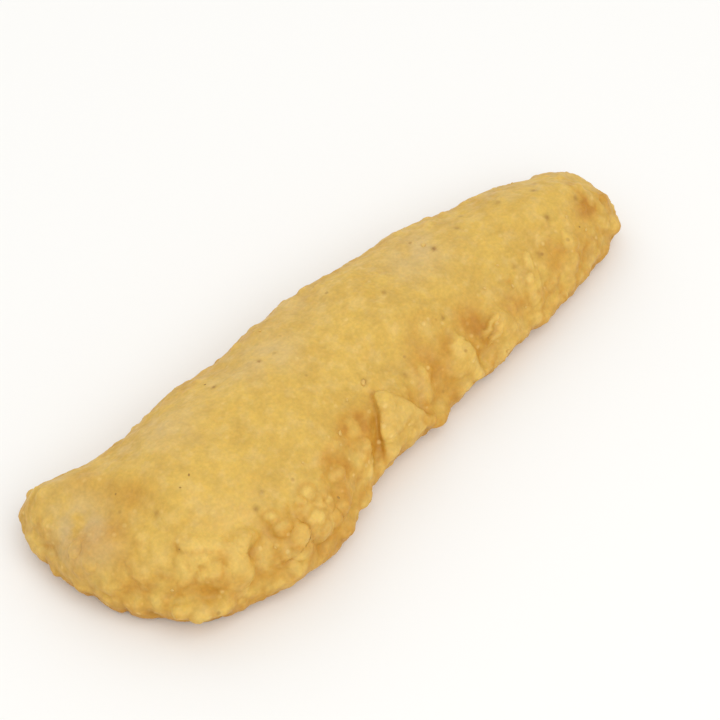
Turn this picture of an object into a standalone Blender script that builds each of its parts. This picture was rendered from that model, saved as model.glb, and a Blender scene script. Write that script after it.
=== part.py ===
"""A battered and deep-fried fish fillet, lying on its flatter side.

Run with:  blender --background --python part.py

Metres, +Z up. The fillet lies along X: the thick, blunt shoulder end is at -X and the slim tail
end at +X. Its ragged long edge faces -Y. The origin is on the resting plane, under the middle of
the fillet's box. The whole fillet is one piece: the batter has set around the fish, so the
outside is all there is.

It is built as it would be modelled by hand: a slab cut to the plan outline is inflated into a
pillow with a batter hem round it, lumps and flaps of batter are stuck on, everything is fused by
a voxel remesh, and the underside is cut flat where the fillet lay.
"""

import math
import random

import bmesh
import bpy
import numpy as np
from mathutils import Matrix, Vector, noise

MM = 0.001

# --- driving dimensions, in millimetres -------------------------------------------------------

LENGTH = 162.0            # from shoulder end to tail end, before the hem's scallops
THICKNESS = 23.0          # from the resting plane to the crown at its highest
RIM_HEIGHT = 6.5          # height of the batter hem above the resting plane
HEM_HALF_THICKNESS = 1.5  # half the thickness of the hem's edge
SUNK = 1.1                # how far the pillow's belly reaches under the resting plane before the cut

# The plan outline, anticlockwise from the tail tip, as shares of LENGTH from the middle.
# Each point is (along, across, hem): hem is how far the hem stands out of the body there, in mm.
OUTLINE = (
    (0.510, -0.004, 1.0),
    (0.493, 0.046, 1.0),
    (0.417, 0.089, 1.0),
    (0.275, 0.126, 1.2),
    (0.105, 0.154, 1.2),
    (-0.085, 0.159, 1.4),
    (-0.255, 0.159, 1.4),
    (-0.372, 0.160, 1.6),
    (-0.455, 0.180, 1.6),
    (-0.499, 0.136, 1.8),
    (-0.506, 0.034, 2.0),
    (-0.474, -0.056, 2.2),
    (-0.424, -0.124, 2.4),
    (-0.330, -0.162, 2.4),
    (-0.228, -0.177, 2.6),
    (-0.150, -0.151, 2.8),
    (-0.090, -0.136, 3.2),
    (0.025, -0.132, 3.4),
    (0.185, -0.125, 3.4),
    (0.335, -0.117, 2.6),
    (0.451, -0.095, 1.8),
    (0.505, -0.050, 1.2),
)

# The crown's height above the rim along the length: (along, height as a share of the full crown).
CROWN = (
    (-0.50, 0.86),
    (-0.42, 0.97),
    (-0.30, 1.00),
    (-0.12, 0.97),
    (0.10, 0.93),
    (0.28, 0.86),
    (0.42, 0.74),
    (0.50, 0.62),
)

SHOULDER = 18.0           # distance from the hem in which the crown reaches its full height
FRONT_SHOULDER = 21.0     # the same along the front, which slopes more gently
ROUNDNESS = 1.75          # the dome's profile: 2 is a quarter circle, less is flatter at the hem
BELLY_SHOULDER = 9.0      # the same under the hem

# The shoulder end is a slanting facet: it starts at a ridge across the fillet and falls to the hem.
FACET_RIDGE = -63.0       # where the ridge is along the fillet, on the middle line
FACET_SKEW = -0.16        # how far the ridge shifts along for each millimetre across
FACET_TOP = 12.6          # height of the ridge above the rim
FACET_SLOPE = 0.60        # fall for each millimetre along
FACET_ROUNDING = 1.3      # radius in which the ridge is rounded over

SCALLOP_PITCH = 6.4       # mean spacing of the hem's scallops
SCALLOP_DEPTH = 1.3       # depth of the notch between two scallops

SLAB_VOXEL = 1.5
FUSE_VOXEL = 0.9
TRIANGLES = 10200         # what the fused mesh is thinned to, before the underside is cut off

SEED = 11
COLLECTION = "fried fish fillet"


# --- small curves -------------------------------------------------------------------------------

def through_closed(points, per_span):
    """A smooth closed curve through the points (Catmull-Rom), as an array of samples."""
    knots = np.array(points)
    ahead = np.linspace(0.0, 1.0, per_span, endpoint=False)[:, None]
    spans = []
    for i in range(len(knots)):
        a, b, c, d = (knots[(i + k) % len(knots)] for k in (-1, 0, 1, 2))
        spans.append(0.5 * (2 * b + (c - a) * ahead + (2 * a - 5 * b + 4 * c - d) * ahead**2
                            + (3 * b - a - 3 * c + d) * ahead**3))
    return np.concatenate(spans)


def even_steps(curve, count):
    """The closed curve sampled again at `count` places an equal distance apart."""
    loop = np.vstack([curve, curve[:1]])
    run = np.concatenate([[0.0], np.cumsum(np.linalg.norm(np.diff(loop[:, :2], axis=0), axis=1))])
    wanted = np.linspace(0.0, run[-1], count, endpoint=False)
    return np.stack([np.interp(wanted, run, column) for column in loop.T], axis=1), run[-1]


def smooth(t):
    """A share from 0 to 1, eased so that it is flat at both ends."""
    t = np.clip(t, 0.0, 1.0)
    return t * t * (3.0 - 2.0 * t)


def wander(x, y, z, size):
    """Smooth noise from -1 to 1 with lumps about `size` millimetres across."""
    return noise.noise(Vector((x, y, z)) / size)


# --- the plan outline -----------------------------------------------------------------------------

def outlines(rng):
    """The plan outline, the same with its scalloped hem, and the outward normals.

    Both outlines are samples of (x, y, hem width), in millimetres.
    """
    per_step = 1.2
    rough, around = even_steps(through_closed(OUTLINE, 24) * (LENGTH, LENGTH, 1.0), 400)
    edge, around = even_steps(rough, round(around / per_step))
    along = np.roll(edge[:, :2], -1, axis=0) - np.roll(edge[:, :2], 1, axis=0)
    along /= np.linalg.norm(along, axis=1)[:, None]
    outward = np.stack([along[:, 1], -along[:, 0]], axis=1)

    # Scallops of uneven width: round lobes with sharp notches between them.
    ends = [0.0]
    while ends[-1] < around - 0.5 * SCALLOP_PITCH:
        ends.append(ends[-1] + SCALLOP_PITCH * rng.uniform(0.6, 1.5))
    ends = np.array(ends) * around / ends[-1]
    depths = np.array([rng.uniform(0.3, 1.5) for _ in ends])
    place = np.arange(len(edge)) * around / len(edge)
    lobe = np.searchsorted(ends, place, side="right") - 1
    within = (place - ends[lobe]) / (ends[lobe + 1] - ends[lobe])
    notch = 1.0 - np.sin(math.pi * within) ** 0.6
    raggedness = edge[:, 2] / edge[:, 2].mean()
    scalloped = edge.copy()
    scalloped[:, :2] -= outward * (SCALLOP_DEPTH * depths[lobe] * notch * raggedness)[:, None]
    return edge, scalloped, outward


# --- the pillow -------------------------------------------------------------------------------------

def slab(edge):
    """A thin slab with the plan outline, as a remeshed mesh whose vertices can be moved."""
    curve = bpy.data.curves.new("slab", "CURVE")
    curve.dimensions = "2D"
    curve.fill_mode = "BOTH"
    curve.extrude = HEM_HALF_THICKNESS * MM
    spline = curve.splines.new("POLY")
    spline.points.add(len(edge) - 1)
    for point, (x, y, _) in zip(spline.points, edge):
        point.co = (x * MM, y * MM, 0.0, 1.0)
    spline.use_cyclic_u = True
    guide = bpy.data.objects.new("slab", curve)
    bpy.context.scene.collection.objects.link(guide)
    remesh = mesh_of(guide)
    bpy.data.objects.remove(guide)
    bm = bmesh.new()
    bm.from_mesh(remesh)
    bmesh.ops.remove_doubles(bm, verts=bm.verts, dist=0.01 * MM)
    bm.to_mesh(remesh)
    bm.free()
    holder = bpy.data.objects.new("slab", remesh)
    bpy.context.scene.collection.objects.link(holder)
    add_remesh(holder, SLAB_VOXEL)
    mesh = mesh_of(holder)
    bpy.data.objects.remove(holder)
    return mesh


def mesh_of(obj):
    """A copy of the object's mesh with its modifiers worked in."""
    bpy.context.view_layer.update()
    graph = bpy.context.evaluated_depsgraph_get()
    return bpy.data.meshes.new_from_object(obj.evaluated_get(graph))


def add_remesh(obj, voxel):
    """Fuses the object's overlapping pieces in one skin, with faces about `voxel` millimetres wide."""
    remesh = obj.modifiers.new("fuse", "REMESH")
    remesh.mode = "VOXEL"
    remesh.voxel_size = voxel * MM
    remesh.use_smooth_shade = True
    return remesh


class Pillow:
    """The fillet's skin: from a place in plan to the heights of its top and its belly."""

    def __init__(self, edge):
        self.edge = edge
        self.crown = THICKNESS - RIM_HEIGHT - HEM_HALF_THICKNESS

    def from_edge(self, xy):
        """Distance of each place from the hem's edge, and the hem's width there."""
        gap = np.linalg.norm(xy[:, None, :] - self.edge[None, :, :2], axis=2)
        nearest = gap.argmin(axis=1)
        return gap.min(axis=1), self.edge[nearest, 2]

    def rim(self, xy):
        """Height of the hem's middle: it waves up and down round the fillet."""
        wave = np.array([wander(x, y, 3.0, 16.0) for x, y in xy])
        return RIM_HEIGHT + 1.6 * wave

    def dome(self, xy):
        """0 at the hem's root, 1 on the top."""
        distance, hem = self.from_edge(xy)
        inward = np.maximum(distance - hem, 0.0)
        on_front = smooth((4.0 - xy[:, 1]) / 14.0)
        width = SHOULDER + (FRONT_SHOULDER - SHOULDER) * on_front
        rise = np.clip(inward / width, 0.0, 1.0)
        return (1.0 - (1.0 - rise) ** ROUNDNESS) ** (1.0 / ROUNDNESS)

    def top(self, xy):
        """Height of the crown above the rim, with the shoulder end's facet cut across it."""
        along, share = np.array(CROWN).T
        height = np.interp(xy[:, 0] / LENGTH, along, share)
        sag = np.array([wander(x, 1.6 * y, 9.0, 30.0) for x, y in xy])
        crown = self.crown * self.dome(xy) * (height + 0.10 * sag)
        past_ridge = FACET_RIDGE + FACET_SKEW * xy[:, 1] - xy[:, 0]
        facet = FACET_TOP - FACET_SLOPE * past_ridge + 0.8 * sag
        blend = np.clip(0.5 + 0.5 * (facet - crown) / FACET_ROUNDING, 0.0, 1.0)
        lower = facet + (crown - facet) * blend - FACET_ROUNDING * blend * (1.0 - blend)
        return np.maximum(lower, 0.0)

    def belly(self, xy):
        """Depth of the underside below the rim."""
        distance, hem = self.from_edge(xy)
        rise = np.clip((distance - 0.6 * hem) / BELLY_SHOULDER, 0.0, 1.0)
        return (RIM_HEIGHT - HEM_HALF_THICKNESS + SUNK) * np.sqrt(1.0 - (1.0 - rise) ** 2)

    def inflate(self, mesh):
        """Blows the slab up: its upper side becomes the crown, its lower side the belly."""
        place = np.empty(len(mesh.vertices) * 3)
        mesh.vertices.foreach_get("co", place)
        place = place.reshape(-1, 3) / MM
        xy = place[:, :2]
        side = np.clip(place[:, 2] / (HEM_HALF_THICKNESS * 0.8), -1.0, 1.0)
        swell = np.where(side > 0.0, self.top(xy), self.belly(xy))
        place[:, 2] = self.rim(xy) + side * (HEM_HALF_THICKNESS + swell)
        mesh.vertices.foreach_set("co", (place * MM).ravel())
        mesh.update()

    def surface(self, x, y):
        """A place on the upper skin above (x, y)."""
        xy = np.array([[x, y]])
        return Vector((x, y, (self.rim(xy) + HEM_HALF_THICKNESS + self.top(xy))[0]))

    def normal(self, x, y):
        """The upper skin's normal there."""
        step = 0.8
        across_x = self.surface(x + step, y) - self.surface(x - step, y)
        across_y = self.surface(x, y + step) - self.surface(x, y - step)
        return across_x.cross(across_y).normalized()


# --- batter stuck on the skin -----------------------------------------------------------------------

def blob(bm, centre, forward, up, size):
    """Adds one ellipsoid of batter: size is its length along forward, its width and its height."""
    side = up.cross(forward).normalized()
    forward = side.cross(up).normalized()
    turn = Matrix((forward, side, up)).transposed().to_4x4()
    shape = Matrix.Diagonal((*(0.5 * s * MM for s in size), 1.0))
    bmesh.ops.create_icosphere(bm, subdivisions=2, radius=1.0,
                               matrix=Matrix.Translation(centre * MM) @ turn @ shape)


def add_nodules(bm, pillow, edge, outward, rng):
    """Round blisters of batter crowded low on the side wall of the shoulder half."""
    for index in range(len(edge)):
        x, y, hem = edge[index]
        on_front = y < 2.0 and x < 0.0
        if not on_front or rng.random() > 0.40:
            continue
        inset = hem + rng.uniform(0.0, 9.0)
        px, py = edge[index, :2] - outward[index] * inset
        up = pillow.normal(px, py)
        across = rng.uniform(2.8, 5.6)
        size = (across, across * rng.uniform(0.75, 1.0), rng.uniform(2.0, 3.2))
        forward = Vector((rng.uniform(-1, 1), rng.uniform(-1, 1), 0.2))
        blob(bm, pillow.surface(px, py), forward, up, size)


def add_beads(bm, pillow, x, y, spread, bead, count, rng):
    """A crowd of round beads of batter about (x, y)."""
    for _ in range(count):
        turn, away = rng.uniform(0.0, 2.0 * math.pi), spread * math.sqrt(rng.random())
        px, py = x + 1.5 * away * math.cos(turn), y + 0.6 * away * math.sin(turn)
        up = pillow.normal(px, py)
        across = bead * rng.uniform(0.8, 1.25)
        size = (across, across * rng.uniform(0.8, 1.0), 0.8 * across)
        blob(bm, pillow.surface(px, py) + up * 0.1 * across, Vector((1.0, 0.2, 0.1)), up, size)


def add_flap(bm, pillow, corners, thickness):
    """A three-cornered plate of batter lying on the skin: corners are (x, y, lift off the skin)."""
    steps = 7
    a, b, c = (np.array(corner) for corner in corners)
    for i in range(steps):
        for j in range(steps - i):
            x, y, lift = a + (b - a) * i / (steps - 1) + (c - a) * j / (steps - 1)
            up = pillow.normal(x, y)
            centre = pillow.surface(x, y) + up * lift
            blob(bm, centre, Vector((1.0, 0.3, 0.0)), up, (2.8, 2.8, thickness))


def add_ridge(bm, pillow, line, rng):
    """A ridge of batter that ran down the side wall and set: line is (x, y, width, height)."""
    line = np.array(line)
    for share in np.linspace(0.0, len(line) - 1.0, 4 * len(line)):
        x, y, width, height = (np.interp(share, range(len(line)), column) for column in line.T)
        width *= rng.uniform(0.85, 1.15)
        up = pillow.normal(x, y)
        centre = pillow.surface(x, y) + up * 0.1 * height
        blob(bm, centre, Vector((0.4, -1.0, 0.0)), up, (width, width, height))


# The plates of batter on the ragged edge, each as three corners (x, y, lift), and their thickness.
# The first is the broad tongue near the middle, whose upper corner and left edge stand clear.
FLAPS = (
    (((-7.5, -13.2, 1.5), (1.0, -19.6, 0.8), (-14.0, -21.0, 0.4)), 2.4),
    (((17.5, -13.0, 0.3), (19.5, -17.5, 0.6), (12.0, -18.6, 0.6)), 2.2),
    (((29.5, -13.5, 0.3), (33.0, -17.3, 0.5), (23.5, -18.4, 0.6)), 2.2),
)

# The ridges between them, each as a few places (x, y, width, height).
RIDGES = (
    ((-17.5, -17.5, 2.6, 2.6), (-21.5, -20.5, 3.6, 3.2), (-25.5, -22.8, 3.0, 2.4)),
    ((6.5, -13.0, 2.4, 1.6), (4.5, -16.5, 3.2, 2.2)),
    ((45.5, -12.5, 2.4, 1.6), (42.0, -16.5, 3.6, 2.2)),
    ((60.0, -11.5, 2.4, 1.4), (57.0, -15.5, 3.2, 1.8)),
)

# The crowds of beads on the front: (x, y, how far they spread, bead size, how many).
CLUSTERS = (
    (-41.0, -23.0, 5.5, 3.2, 16),
    (-61.5, -17.5, 8.0, 4.4, 15),
    (-29.0, -22.0, 3.5, 3.0, 6),
)


# --- the fillet -----------------------------------------------------------------------------------

def batter_material():
    """Pale golden fried batter, dull with a little oil on it."""
    material = bpy.data.materials.new("fried batter")
    material.use_nodes = True
    shader = material.node_tree.nodes["Principled BSDF"]
    shader.inputs["Base Color"].default_value = (0.72, 0.46, 0.12, 1.0)
    shader.inputs["Roughness"].default_value = 0.55
    shader.inputs["Metallic"].default_value = 0.0
    return material


def resting_plane_cutter(collection):
    """The block under the resting plane that cuts the underside flat."""
    size = 2.0 * LENGTH * MM
    bpy.ops.mesh.primitive_cube_add(size=size, location=(0.0, 0.0, -0.5 * size))
    cutter = bpy.context.object
    cutter.name = "resting_plane_cutter"
    cutter.hide_render = True
    cutter.display_type = "WIRE"
    for owner in list(cutter.users_collection):
        owner.objects.unlink(cutter)
    collection.objects.link(cutter)
    return cutter


def build_fillet(collection, cutter):
    """The fillet: pillow and batter fused, softened, made lumpy, thinned out and cut flat below."""
    rng = random.Random(SEED)
    edge, scalloped, outward = outlines(rng)
    pillow = Pillow(edge)
    body = slab(scalloped)
    pillow.inflate(body)

    bm = bmesh.new()
    bm.from_mesh(body)
    add_nodules(bm, pillow, edge, outward, rng)
    for cluster in CLUSTERS:
        add_beads(bm, pillow, *cluster, rng)
    for corners, thickness in FLAPS:
        add_flap(bm, pillow, corners, thickness)
    for line in RIDGES:
        add_ridge(bm, pillow, line, rng)
    mesh = bpy.data.meshes.new("battered_fillet")
    bm.to_mesh(mesh)
    bm.free()

    fillet = bpy.data.objects.new("battered_fillet", mesh)
    collection.objects.link(fillet)
    mesh.materials.append(batter_material())
    add_remesh(fillet, FUSE_VOXEL)

    soften = fillet.modifiers.new("soften", "SMOOTH")
    soften.factor = 0.5
    soften.iterations = 3

    lumps = bpy.data.textures.new("batter lumps", "CLOUDS")
    lumps.noise_scale = 7.0 * MM
    lumps.noise_depth = 2
    relief = fillet.modifiers.new("lumps", "DISPLACE")
    relief.texture = lumps
    relief.texture_coords = "LOCAL"
    relief.strength = 1.2 * MM
    relief.mid_level = 0.5

    bpy.context.view_layer.update()
    graph = bpy.context.evaluated_depsgraph_get()
    quads = len(fillet.evaluated_get(graph).data.polygons)
    thin = fillet.modifiers.new("thin out", "DECIMATE")
    thin.ratio = TRIANGLES / (2.0 * quads)

    cut = fillet.modifiers.new("resting face", "BOOLEAN")
    cut.operation = "DIFFERENCE"
    cut.solver = "EXACT"
    cut.object = cutter
    return fillet


def centre_in_plan(fillet):
    """Puts the middle of the fillet's box over the origin; the resting plane stays at Z = 0."""
    mesh = mesh_of(fillet)
    corners = np.empty(len(mesh.vertices) * 3)
    mesh.vertices.foreach_get("co", corners)
    corners = corners.reshape(-1, 3)
    middle = 0.5 * (corners.min(axis=0) + corners.max(axis=0))
    fillet.location = (-middle[0], -middle[1], 0.0)
    bpy.data.meshes.remove(mesh)


def main():
    """Clears the scene, then builds the fillet and puts it on its origin."""
    for obj in list(bpy.data.objects):
        bpy.data.objects.remove(obj)
    collections = {}
    for name in (COLLECTION, "cutters"):
        collections[name] = bpy.data.collections.new(name)
        bpy.context.scene.collection.children.link(collections[name])
    cutter = resting_plane_cutter(collections["cutters"])
    fillet = build_fillet(collections[COLLECTION], cutter)
    centre_in_plan(fillet)


main()
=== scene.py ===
"""The looks of a battered and deep-fried fish fillet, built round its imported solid.

The solid is the fillet's true form. The batter crust takes its shape, and adds what batter does in
hot oil: a scalloped hem, flaps and folds that ran down the side, blisters, beads and pores.
Crisp droplets and dark fry specks lie on it as pieces of their own.

Blender works in metres. Sizes here are in millimetres, and MM turns them to metres. The fillet lies
along X, the blunt shoulder end at -X and the slim tail end at +X, its ragged long edge facing -Y.
"""

import logging
import math
import random
from collections.abc import Callable
from dataclasses import dataclass, field
from enum import Enum

import bmesh
import bpy
import numpy as np
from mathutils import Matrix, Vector
from mathutils.bvhtree import BVHTree


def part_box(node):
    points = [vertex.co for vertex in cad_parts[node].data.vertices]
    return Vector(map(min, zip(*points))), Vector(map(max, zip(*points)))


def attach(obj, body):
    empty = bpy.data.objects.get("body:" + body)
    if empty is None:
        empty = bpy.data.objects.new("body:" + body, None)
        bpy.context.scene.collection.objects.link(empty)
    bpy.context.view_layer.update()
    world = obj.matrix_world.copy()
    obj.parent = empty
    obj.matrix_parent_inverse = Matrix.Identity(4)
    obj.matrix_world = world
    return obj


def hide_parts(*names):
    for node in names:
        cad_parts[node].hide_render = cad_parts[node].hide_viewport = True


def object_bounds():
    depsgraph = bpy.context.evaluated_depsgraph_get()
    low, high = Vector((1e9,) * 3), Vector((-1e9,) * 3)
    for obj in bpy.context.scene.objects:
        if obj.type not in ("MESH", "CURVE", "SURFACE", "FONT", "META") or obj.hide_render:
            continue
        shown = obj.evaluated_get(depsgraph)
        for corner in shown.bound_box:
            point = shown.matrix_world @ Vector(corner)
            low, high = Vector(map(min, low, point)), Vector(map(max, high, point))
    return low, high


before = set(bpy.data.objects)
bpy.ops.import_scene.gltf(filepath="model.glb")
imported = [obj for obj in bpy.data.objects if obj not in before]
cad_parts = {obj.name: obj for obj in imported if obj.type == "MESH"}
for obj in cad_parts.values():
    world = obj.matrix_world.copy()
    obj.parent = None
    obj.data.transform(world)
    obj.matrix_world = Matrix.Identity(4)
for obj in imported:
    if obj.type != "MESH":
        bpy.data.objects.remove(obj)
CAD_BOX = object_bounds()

MM = 0.001
NODE = "battered_fillet"
HEM_HEIGHT = 5.0        # where the batter hem is widest, above the resting plane
log = logging.getLogger("fish fillet")


# --- colour and shader helpers ---

def linear(code: str) -> tuple[float, float, float, float]:
    """Turns an sRGB colour to the linear one that Blender works in.

    Args:
        code: the colour as six hex digits, with or without a leading hash.

    Returns:
        Red, green, blue and an alpha of one.
    """
    shares = (int(code.lstrip("#")[i:i + 2], 16) / 255.0 for i in (0, 2, 4))
    return (*(s / 12.92 if s <= 0.04045 else ((s + 0.055) / 1.055) ** 2.4 for s in shares), 1.0)


def add_node(tree: bpy.types.NodeTree, kind: str, feeds: dict | None = None, **settings) -> bpy.types.Node:
    """Adds a shader node, sets it up and wires what feeds it.

    Args:
        tree: the node tree the node goes in.
        kind: the node's type, such as ShaderNodeTexNoise.
        feeds: input socket name or number to a value, or to the output socket that feeds it.
        **settings: properties of the node itself.

    Returns:
        The new node.
    """
    node = tree.nodes.new(kind)
    for name, value in settings.items():
        setattr(node, name, value)
    for socket, value in (feeds or {}).items():
        if isinstance(value, bpy.types.NodeSocket):
            tree.links.new(value, node.inputs[socket])
        else:
            node.inputs[socket].default_value = value
    return node


# --- number helpers ---

def ease(t: np.ndarray | float) -> np.ndarray | float:
    """Smoothly takes a share from 0 to 1, flat at both ends."""
    t = np.clip(t, 0.0, 1.0)
    return t * t * (3.0 - 2.0 * t)


def cell_share(cells: np.ndarray, seed: int) -> np.ndarray:
    """A fixed random share for each cell of a lattice.

    Args:
        cells: whole-number places, the last axis holding x, y and z.
        seed: which of many such patterns.

    Returns:
        Shares of 0 to 1, the same each time for the same cell.
    """
    mixed = (cells[..., 0] * 73856093 + cells[..., 1] * 19349663 + cells[..., 2] * 83492791
             + seed * 1299721) & 0xFFFFFFFF
    mixed = ((mixed ^ (mixed >> 15)) * 739982445) & 0xFFFFFFFF
    mixed = ((mixed ^ (mixed >> 12)) * 695872825) & 0xFFFFFFFF
    return ((mixed ^ (mixed >> 15)) & 0xFFFFFF) / 0xFFFFFF


def noise_field(points: np.ndarray, size: float, seed: int, octaves: int = 1) -> np.ndarray:
    """Smooth noise at each point.

    Args:
        points: places in millimetres, one row each.
        size: how wide the lumps are, in millimetres.
        seed: which of many such patterns.
        octaves: how many layers are added, each half as wide and as strong as the one before.

    Returns:
        A value of about -1 to 1 for each point.
    """
    total = np.zeros(len(points))
    for octave in range(octaves):
        at = points / size * 2.0**octave + 31.7
        cell = np.floor(at).astype(np.int64)
        within = at - cell
        fade = within**3 * (within * (within * 6.0 - 15.0) + 10.0)
        for corner in np.ndindex(2, 2, 2):
            slope = np.stack([cell_share(cell + corner, 7 * seed + 3 * octave + k) for k in range(3)], axis=1)
            ramp = ((2.0 * slope - 1.0) * (within - corner)).sum(axis=1)
            weight = np.where(np.array(corner) == 1, fade, 1.0 - fade).prod(axis=1)
            total += 1.6 * ramp * weight / 2.0**octave
    return total


def blister_field(points: np.ndarray, size: float, seed: int) -> tuple[np.ndarray, np.ndarray, np.ndarray]:
    """Rounded blisters that crowd against each other, with creases between them.

    Args:
        points: places in millimetres, one row each.
        size: the blisters' mean spacing, in millimetres.
        seed: which of many such patterns.

    Returns:
        For each point the height of its blister, 1 at the middle, how near it is to a crease, 1 in
        the crease itself, and a random share for the blister it is on.
    """
    at = points / size
    cell = np.floor(at).astype(np.int64)
    nearest = np.full(len(points), 9.0)
    second = np.full(len(points), 9.0)
    which = np.zeros(len(points))
    for step in np.ndindex(3, 3, 3):
        home = cell + np.array(step) - 1
        middle = home + np.stack([cell_share(home, 11 * seed + k) for k in range(3)], axis=1)
        gap = np.linalg.norm(middle - at, axis=1)
        closer = gap < nearest
        second = np.where(closer, nearest, np.minimum(second, gap))
        nearest = np.where(closer, gap, nearest)
        which = np.where(closer, cell_share(home, 11 * seed + 5), which)
    return np.clip(1.0 - nearest**2 / 0.8, 0.0, 1.0), 1.0 - ease((second - nearest) / 0.4), which


# --- finishes ---

@dataclass(frozen=True)
class FriedBatter:
    """Set batter of flour, water and egg, fried in oil: a dull golden skin with a little oil on it.

    To the eye it is a soft, slightly see-through yellow, deeper and more orange where the batter
    is thin or creased, creamier on raised lumps, and greyish beige where the fish shows through.
    Part of it is painted light: the orange in creases, hollows and notches is partly painted shade,
    the orange low on the walls and the brown line round the bottom are painted shade, the cream on
    raised lumps is partly a painted highlight, and the pale flecks are partly painted glints.
    """

    golden: str = "#cda547"
    yellow: str = "#d6af4e"
    # Orange of the stains, the wall patches and the thin batter in creases; also of the painted shade in
    # creases, hollows and low on the walls.
    orange: str = "#c38a24"
    brown: str = "#aa701b"
    # Cream of raised lumps: partly paler batter, partly a painted highlight.
    cream: str = "#e4bf62"
    beige: str = "#cdaf74"
    straw: str = "#dcbb70"
    # Brown of the painted shade along the bottom edge and in the frill's notches.
    rim_shade: str = "#ae822f"
    dot: str = "#a2742a"
    pore: str = "#8c5c18"
    # Pale flecks: partly pale crumbs, partly painted glints of oil.
    fleck: str = "#e9c97c"
    roughness: tuple[float, float] = (0.46, 0.66)
    patch_mm: float = 6.5      # width of the yellow and golden patches
    stain_mm: float = 4.0      # width of the orange stains
    mottle_mm: float = 3.4     # width of the beige mottling
    grain_mm: float = 0.8      # width of the flour grain that mottles the skin
    crumb_mm: float = 0.45     # width of the finest roughness of the skin
    dot_mm: float = 4.2        # spacing of the brown dots
    fleck_mm: float = 2.3      # spacing of the pale flecks

    def material(self) -> bpy.types.Material:
        """Builds the shader.

        Returns:
            The material, which reads the crust's masks from its attributes.
        """
        material = bpy.data.materials.new("golden fried batter")
        material.use_nodes = True
        tree = material.node_tree
        tree.nodes.clear()
        place = add_node(tree, "ShaderNodeTexCoord").outputs["Object"]

        def lumps(size_mm: float, detail: float = 2.0) -> bpy.types.NodeSocket:
            """Noise whose lumps are size_mm wide, as a value of 0 to 1."""
            made = add_node(tree, "ShaderNodeTexNoise", {
                "Vector": place, "Scale": 1.0 / (size_mm * MM), "Detail": detail, "Roughness": 0.5})
            return made.outputs["Fac"]

        def span(value: bpy.types.NodeSocket, low: float, high: float,
                 to: tuple[float, float] = (0.0, 1.0)) -> bpy.types.NodeSocket:
            """Stretches low..high to the range `to`, smoothly."""
            made = add_node(tree, "ShaderNodeMapRange", {
                "Value": value, "From Min": low, "From Max": high, "To Min": to[0], "To Max": to[1]},
                interpolation_type="SMOOTHSTEP")
            return made.outputs["Result"]

        def mask(name: str) -> bpy.types.NodeSocket:
            """One of the crust's own masks."""
            return add_node(tree, "ShaderNodeAttribute", attribute_name=name).outputs["Fac"]

        def times(a: bpy.types.NodeSocket, b: bpy.types.NodeSocket | float) -> bpy.types.NodeSocket:
            """Product of two values."""
            return add_node(tree, "ShaderNodeMath", {0: a, 1: b}, operation="MULTIPLY").outputs[0]

        def over(under: bpy.types.NodeSocket | tuple, top: str, share: bpy.types.NodeSocket,
                 blend: str = "MIX") -> bpy.types.NodeSocket:
            """Lays one colour over another."""
            made = add_node(tree, "ShaderNodeMix", {0: share, 6: under, 7: linear(top)},
                            data_type="RGBA", blend_type=blend)
            return made.outputs[2]

        skin = over(linear(self.golden), self.yellow, span(lumps(self.patch_mm, 3.0), 0.36, 0.62))
        skin = over(skin, self.straw, times(span(lumps(self.mottle_mm, 3.0), 0.46, 0.70), 0.38))
        skin = over(skin, self.beige, times(mask("thin"), span(lumps(6.0, 3.0), 0.26, 0.55)))
        patchy = span(lumps(self.stain_mm, 3.0), 0.30, 0.62)
        skin = over(skin, self.orange, times(times(mask("wall"), patchy), 0.16))
        # Cream on raised lumps, beads and folds: partly paler batter, partly a painted highlight.
        skin = over(skin, self.cream, times(mask("raised"), 0.80))
        # Orange in creases, hollows and notches: partly the browner thin batter there, partly painted shade.
        skin = over(skin, self.orange, times(mask("crease"), 0.95))
        stain = times(mask("stain"), span(lumps(self.stain_mm, 3.0), 0.20, 0.60, (0.50, 1.0)))
        skin = over(skin, self.orange, times(stain, 0.95))
        skin = over(skin, self.brown, times(span(stain, 0.55, 1.1), 0.35))
        # Painted shade: orange low on the walls that face sideways or down.
        skin = over(skin, self.orange, times(mask("under"), 0.90))
        # Painted shade: brown along the bottom edge and in the frill's notches.
        skin = over(skin, self.rim_shade, times(mask("rim"), 0.85))
        dots = add_node(tree, "ShaderNodeTexVoronoi", {"Vector": place, "Scale": 1.0 / (self.dot_mm * MM)})
        few = add_node(tree, "ShaderNodeSeparateColor", {"Color": dots.outputs["Color"]})
        near = span(dots.outputs["Distance"], 0.16, 0.05)
        skin = over(skin, self.dot, times(times(near, span(few.outputs[0], 0.62, 1.0)), 0.60))
        skin = over(skin, self.pore, times(mask("dot"), 0.85))
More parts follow.
